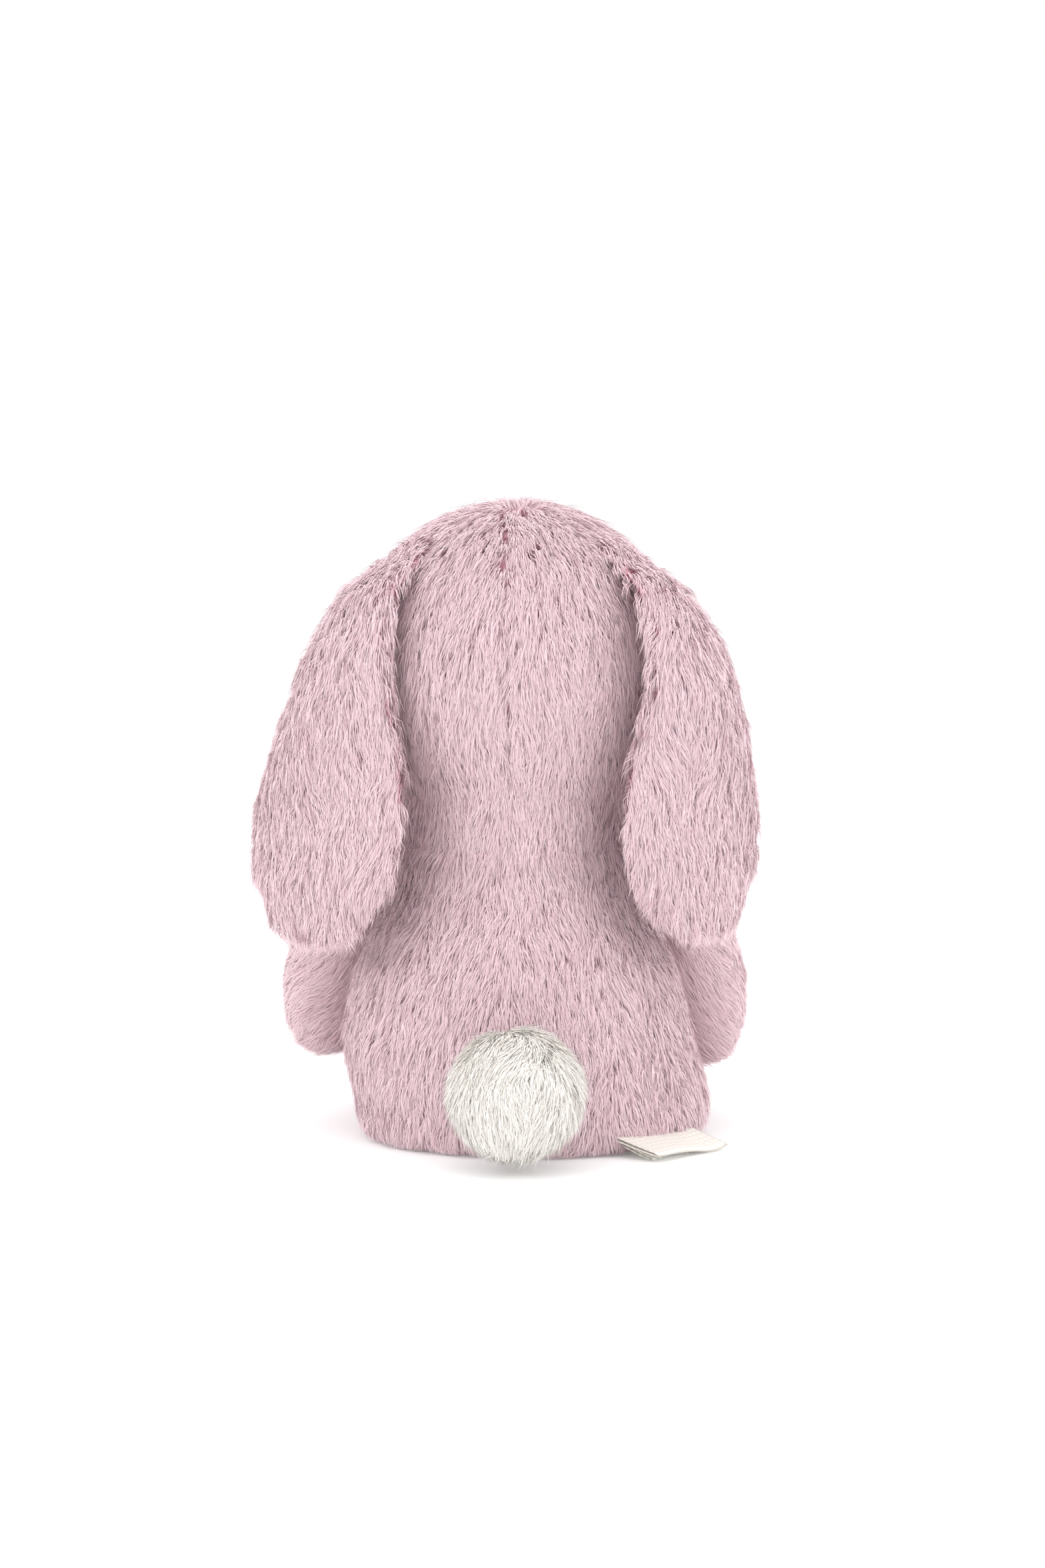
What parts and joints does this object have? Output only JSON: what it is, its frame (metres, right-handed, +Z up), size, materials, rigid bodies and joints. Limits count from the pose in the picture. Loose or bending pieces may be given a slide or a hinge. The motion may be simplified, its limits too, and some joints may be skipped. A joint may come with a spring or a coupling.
{
  "type": "plush rabbit",
  "caption": "Seated plush rabbit with long pile, hanging lop ears, sewn limbs, a round pompom tail and a folded ribbon label.",
  "frame": {"origin": "centre of the flat seat, on the surface that the toy sits on", "axes": "+Z up, -Y the way the face looks, +X the toy's own left side"},
  "size_m": [0.1538, 0.2008, 0.1905],
  "materials": {
    "pink_pile": "brushed long pile",
    "cream_pile": "brushed pompom pile",
    "lining": "short brushed plush",
    "wadding": "loose polyester wadding",
    "pouch_cloth": "plain woven",
    "pellet": "moulded beads",
    "eye_plastic": "polished",
    "washer_plastic": "moulded",
    "thread": "satin embroidery thread",
    "ribbon": "woven satin"
  },
  "bodies": {
    "torso": {"torso_back_panel": "pink_pile", "torso_belly_panel": "pink_pile", "seat_panel": "pink_pile", "torso_filling": "wadding", "bean_bag": "pouch_cloth", "bean_pellets": "pellet"},
    "head": {"head_left_panel": "pink_pile", "head_right_panel": "pink_pile", "head_filling": "wadding", "left_eye": "eye_plastic", "right_eye": "eye_plastic", "left_eye_washer": "washer_plastic", "right_eye_washer": "washer_plastic", "nose": "thread", "mouth_thread": "thread"},
    "left_ear": {"left_ear_back": "pink_pile", "left_ear_lining": "lining"},
    "right_ear": {"right_ear_back": "pink_pile", "right_ear_lining": "lining"},
    "left_arm": {"left_arm_outer_panel": "pink_pile", "left_arm_inner_panel": "pink_pile", "left_arm_filling": "wadding"},
    "right_arm": {"right_arm_outer_panel": "pink_pile", "right_arm_inner_panel": "pink_pile", "right_arm_filling": "wadding"},
    "left_leg": {"left_leg_skin": "pink_pile", "left_foot_sole": "lining", "left_leg_filling": "wadding"},
    "right_leg": {"right_leg_skin": "pink_pile", "right_foot_sole": "lining", "right_leg_filling": "wadding"},
    "tail": {"tail_cover": "cream_pile", "tail_filling": "wadding"},
    "label": {"sewn_label": "ribbon", "care_label": "ribbon"}
  },
  "joints": [
    {"name": "neck_nod", "type": "hinge", "parent": "torso", "child": "head", "pos_m": [0, 0, 0.09], "axis": [1, 0, 0], "range_deg": [-5, 15], "stiffness_Nm_per_rad": 0.3},
    {"name": "left_ear_lift", "type": "hinge", "parent": "head", "child": "left_ear", "pos_m": [0.02988, 0.03561, 0.1715], "axis": [0.766, -0.6428, 0], "range_deg": [0, 110]},
    {"name": "right_ear_lift", "type": "hinge", "parent": "head", "child": "right_ear", "pos_m": [-0.02988, 0.03561, 0.1715], "axis": [0.766, 0.6428, 0], "range_deg": [0, 110]},
    {"name": "left_shoulder", "type": "hinge", "parent": "torso", "child": "left_arm", "pos_m": [0.04811, -0.01023, 0.086], "axis": [-1, 0, 0], "range_deg": [0, 110]},
    {"name": "right_shoulder", "type": "hinge", "parent": "torso", "child": "right_arm", "pos_m": [-0.04811, -0.01023, 0.086], "axis": [-1, 0, 0], "range_deg": [0, 110]},
    {"name": "left_hip", "type": "hinge", "parent": "torso", "child": "left_leg", "pos_m": [0.02919, -0.05985, 0.021], "axis": [-1, 0, 0], "range_deg": [-40, 45]},
    {"name": "right_hip", "type": "hinge", "parent": "torso", "child": "right_leg", "pos_m": [-0.02919, -0.05985, 0.021], "axis": [-1, 0, 0], "range_deg": [-40, 45]},
    {"name": "tail_wag", "type": "hinge", "parent": "torso", "child": "tail", "pos_m": [0, 0.05274, 0.022], "axis": [0, 0, 1], "range_deg": [-15, 15], "stiffness_Nm_per_rad": 0.02},
    {"name": "label_flap", "type": "hinge", "parent": "torso", "child": "label", "pos_m": [-0.03613, 0.03141, 0.0075], "axis": [0.6561, 0.7547, 0], "range_deg": [0, 60]}
  ]
}
